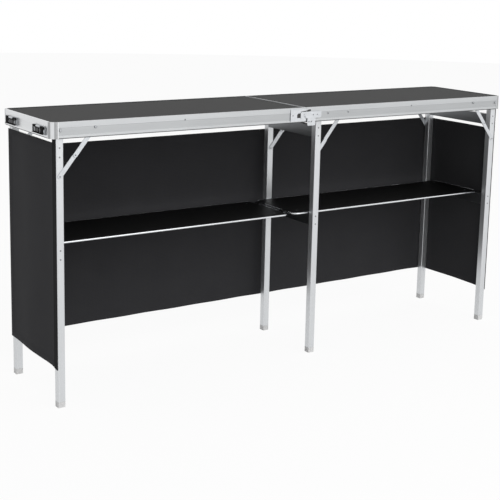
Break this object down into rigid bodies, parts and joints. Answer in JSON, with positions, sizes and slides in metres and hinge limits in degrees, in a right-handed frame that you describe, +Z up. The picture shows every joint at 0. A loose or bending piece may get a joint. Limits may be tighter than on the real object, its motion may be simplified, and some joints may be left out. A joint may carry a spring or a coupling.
{
  "type": "folding portable bar",
  "caption": "Folding portable bar with a hinged aluminium-framed top, folding leg frames with stays, wire-rimmed shelves and a cloth skirt.",
  "frame": {"origin": "on the floor under the middle of the top, at the seam", "axes": "+X along the bar to the right as seen from the open side, +Y to the skirt at the back, +Z up"},
  "size_m": [1.8651, 0.3871, 0.89],
  "materials": {
    "aluminium": "satin anodised extrusion",
    "top_board": "matte charcoal laminate on fibreboard",
    "steel_hardware": "bright plated pressed steel",
    "foot_plastic": "light grey moulded plastic",
    "shelf_board": "semi-gloss black laminate",
    "shelf_wire": "bright plated wire",
    "clasp_black": "black coated steel",
    "skirt_cloth": "black woven polyester"
  },
  "bodies": {
    "top": {"top_board_left": "top_board", "top_board_right": "top_board", "front_rail_left": "aluminium", "front_rail_right": "aluminium", "rear_rail_left": "aluminium", "rear_rail_right": "aluminium", "end_rail_left": "aluminium", "end_rail_right": "aluminium", "corner_front_left": "aluminium", "corner_front_right": "aluminium", "corner_rear_left": "aluminium", "corner_rear_right": "aluminium", "seam_rail_left": "aluminium", "seam_rail_right": "aluminium", "hinge_pin": "steel_hardware", "latch_keeper": "steel_hardware", "clasp_base_front": "clasp_black", "clasp_base_rear": "clasp_black", "middle_bracket_front": "steel_hardware", "middle_bracket_rear": "steel_hardware", "skirt_rear": "skirt_cloth", "skirt_left": "skirt_cloth", "skirt_right": "skirt_cloth"},
    "left_leg_frame": {"left_leg_front": "aluminium", "left_leg_rear": "aluminium", "left_foot_front": "foot_plastic", "left_foot_rear": "foot_plastic", "left_upper_bar": "aluminium", "left_shelf_bar": "aluminium"},
    "left_lower_links": {"left_lower_link_front": "steel_hardware", "left_lower_link_rear": "steel_hardware"},
    "left_upper_links": {"left_upper_link_front": "steel_hardware", "left_upper_link_rear": "steel_hardware"},
    "middle_leg_frame": {"middle_leg_front": "aluminium", "middle_leg_rear": "aluminium", "middle_foot_front": "foot_plastic", "middle_foot_rear": "foot_plastic", "middle_upper_bar": "aluminium", "middle_shelf_bar": "aluminium"},
    "middle_lower_links": {"middle_lower_link_front": "steel_hardware", "middle_lower_link_rear": "steel_hardware"},
    "middle_upper_links": {"middle_upper_link_front": "steel_hardware", "middle_upper_link_rear": "steel_hardware"},
    "right_leg_frame": {"right_leg_front": "aluminium", "right_leg_rear": "aluminium", "right_foot_front": "foot_plastic", "right_foot_rear": "foot_plastic", "right_upper_bar": "aluminium", "right_shelf_bar": "aluminium"},
    "right_lower_links": {"right_lower_link_front": "steel_hardware", "right_lower_link_rear": "steel_hardware"},
    "right_upper_links": {"right_upper_link_front": "steel_hardware", "right_upper_link_rear": "steel_hardware"},
    "left_shelf": {"left_shelf_board": "shelf_board", "left_shelf_rim": "shelf_wire"},
    "right_shelf": {"right_shelf_board": "shelf_board", "right_shelf_rim": "shelf_wire"},
    "latch": {"latch_lever": "steel_hardware"},
    "clasp_front": {"clasp_lever_front": "clasp_black"},
    "clasp_rear": {"clasp_lever_rear": "clasp_black"}
  },
  "joints": [
    {"name": "left_leg_fold", "type": "hinge", "parent": "top", "child": "left_leg_frame", "pos_m": [-0.895, 0, 0.865], "axis": [0, -1, 0], "range_deg": [0, 90], "deforming": ["skirt_left"]},
    {"name": "left_lower_link_turn", "type": "hinge", "parent": "left_leg_frame", "child": "left_lower_links", "pos_m": [-0.895, 0, 0.726], "axis": [0, -1, 0], "range_deg": [-152.95, 0]},
    {"name": "left_upper_link_turn", "type": "hinge", "parent": "top", "child": "left_upper_links", "pos_m": [-0.781, 0, 0.87], "axis": [0, -1, 0], "range_deg": [0, 117.07]},
    {"name": "middle_leg_fold", "type": "hinge", "parent": "top", "child": "middle_leg_frame", "pos_m": [0.081, 0, 0.839], "axis": [0, -1, 0], "range_deg": [0, 90]},
    {"name": "middle_lower_link_turn", "type": "hinge", "parent": "middle_leg_frame", "child": "middle_lower_links", "pos_m": [0.081, 0, 0.7], "axis": [0, -1, 0], "range_deg": [-152.95, 0]},
    {"name": "middle_upper_link_turn", "type": "hinge", "parent": "top", "child": "middle_upper_links", "pos_m": [0.195, 0, 0.844], "axis": [0, -1, 0], "range_deg": [0, 117.07]},
    {"name": "right_leg_fold", "type": "hinge", "parent": "top", "child": "right_leg_frame", "pos_m": [0.895, 0, 0.865], "axis": [0, 1, 0], "range_deg": [0, 90], "deforming": ["skirt_right"]},
    {"name": "right_lower_link_turn", "type": "hinge", "parent": "right_leg_frame", "child": "right_lower_links", "pos_m": [0.895, 0, 0.726], "axis": [0, 1, 0], "range_deg": [-152.95, 0]},
    {"name": "right_upper_link_turn", "type": "hinge", "parent": "top", "child": "right_upper_links", "pos_m": [0.781, 0, 0.87], "axis": [0, 1, 0], "range_deg": [0, 117.07]},
    {"name": "left_shelf_slide", "type": "slide", "parent": "top", "child": "left_shelf", "axis": [-0.982, 0, 0.1888], "range_m": [0, 1.32432]},
    {"name": "right_shelf_slide", "type": "slide", "parent": "top", "child": "right_shelf", "axis": [0.982, 0, 0.1888], "range_m": [0, 1.32432]},
    {"name": "latch_lift", "type": "hinge", "parent": "top", "child": "latch", "pos_m": [0.045, -0.1924, 0.865], "axis": [0, 1, 0], "range_deg": [0, 35]},
    {"name": "clasp_front_lift", "type": "hinge", "parent": "top", "child": "clasp_front", "pos_m": [-0.9301, -0.108, 0.8702], "axis": [0, 1, 0], "range_deg": [0, 100]},
    {"name": "clasp_rear_lift", "type": "hinge", "parent": "top", "child": "clasp_rear", "pos_m": [-0.9301, 0.108, 0.8702], "axis": [0, 1, 0], "range_deg": [0, 100]}
  ],
  "couplings": [
    {"joint": "left_lower_link_turn", "follows": "left_leg_fold", "ratio": -1.6994},
    {"joint": "left_upper_link_turn", "follows": "left_leg_fold", "ratio": 1.3006},
    {"joint": "middle_leg_fold", "follows": "right_leg_fold", "ratio": 1},
    {"joint": "middle_lower_link_turn", "follows": "right_leg_fold", "ratio": -1.6994},
    {"joint": "middle_upper_link_turn", "follows": "right_leg_fold", "ratio": 1.3006},
    {"joint": "right_lower_link_turn", "follows": "right_leg_fold", "ratio": -1.6994},
    {"joint": "right_upper_link_turn", "follows": "right_leg_fold", "ratio": 1.3006},
    {"joint": "left_shelf_slide", "follows": "left_leg_fold", "m_per_rad": 0.84277},
    {"joint": "right_shelf_slide", "follows": "right_leg_fold", "m_per_rad": 0.84277}
  ]
}
